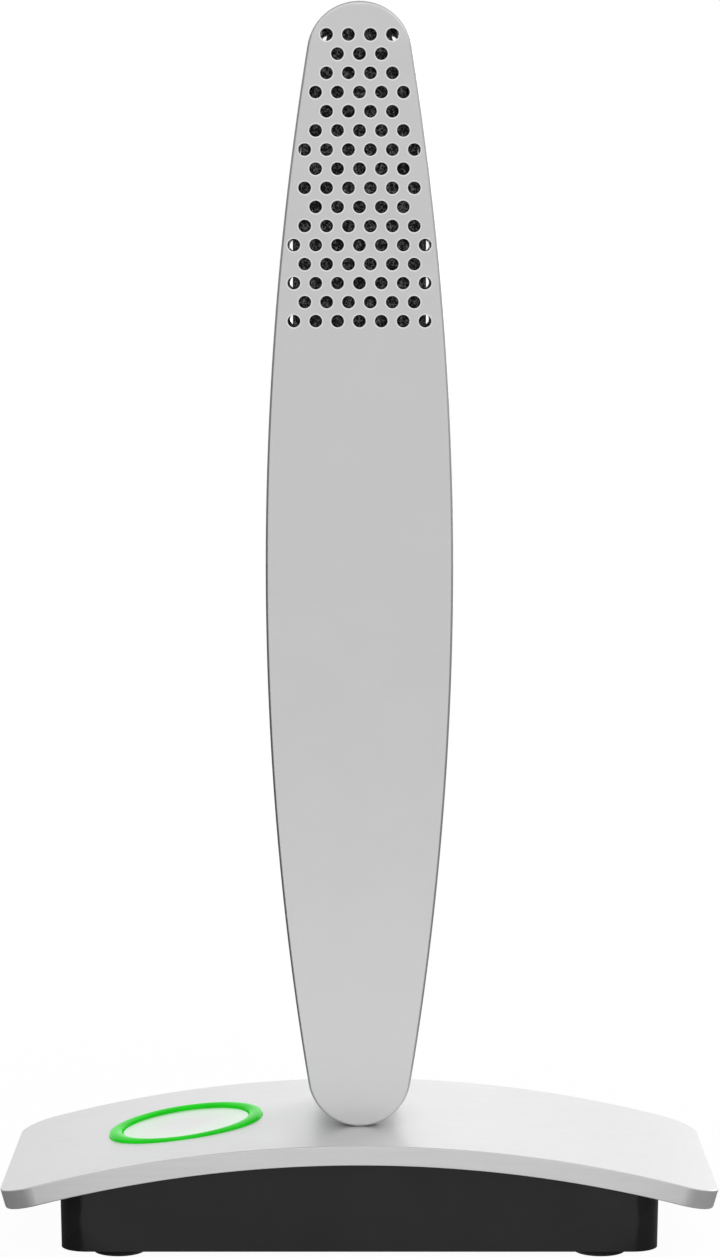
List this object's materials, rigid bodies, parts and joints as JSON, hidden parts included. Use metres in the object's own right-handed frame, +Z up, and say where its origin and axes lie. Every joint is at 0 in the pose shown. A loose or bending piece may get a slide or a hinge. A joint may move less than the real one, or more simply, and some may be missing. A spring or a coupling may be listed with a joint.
{
  "type": "desktop usb microphone",
  "caption": "Flat lens-shaped upright with perforated faces on an arched metal plate over a black tub, with a lit ring round a push button.",
  "frame": {"origin": "on the surface it stands on, under the middle of the arched plate", "axes": "+X to the speaker's right, +Y away from the speaker, +Z up"},
  "size_m": [0.1158, 0.052, 0.2015],
  "materials": {
    "satin_aluminium": "satin anodised",
    "cast_alloy": "as cast",
    "core_plastic": "moulded",
    "tub_plastic": "fine satin",
    "foam": "open cell foam",
    "lead_jacket": "matt",
    "screw_steel": "zinc plated",
    "ballast_steel": "rolled",
    "circuit_board": "solder mask",
    "shell_steel": "bright",
    "chip_plastic": "moulded",
    "component_metal": "bright",
    "connector_plastic": "moulded",
    "lit_ring": "polished, lit",
    "lamp": "clear resin",
    "button_silver": "satin",
    "foot_rubber": "matt"
  },
  "bodies": {
    "microphone": {"front_panel": "satin_aluminium", "rear_panel": "satin_aluminium", "side_band": "satin_aluminium", "base_plate": "satin_aluminium", "foot_block": "cast_alloy", "plate_standoffs": "cast_alloy", "microphone_capsule": "cast_alloy", "core_moulding": "core_plastic", "capsule_holder": "core_plastic", "button_carrier": "core_plastic", "base_housing": "tub_plastic", "foam_windscreen": "foam", "microphone_lead": "lead_jacket", "upright_screws": "screw_steel", "housing_screws": "screw_steel", "board_screws": "screw_steel", "carrier_screws": "screw_steel", "ballast_weight": "ballast_steel", "main_board": "circuit_board", "button_board": "circuit_board", "capsule_board": "circuit_board", "usb_socket": "shell_steel", "usb_tongue": "chip_plastic", "codec_chip": "chip_plastic", "switch_body": "chip_plastic", "board_components": "component_metal", "lead_connector": "connector_plastic", "main_ribbon_connector": "connector_plastic", "board_ribbon_connector": "connector_plastic", "button_ribbon": "connector_plastic", "light_ring": "lit_ring", "ring_lamps": "lamp", "front_left_foot": "foot_rubber", "rear_left_foot": "foot_rubber", "front_right_foot": "foot_rubber", "rear_right_foot": "foot_rubber"},
    "mute_button": {"mute_button_cap": "button_silver", "switch_plunger": "connector_plastic"}
  },
  "joints": [
    {"name": "mute_press", "type": "slide", "parent": "microphone", "child": "mute_button", "axis": [0.1377, 0, -0.9905], "range_m": [0, 0.0005], "stiffness_N_per_m": 1200, "springref_m": -0.0004}
  ]
}
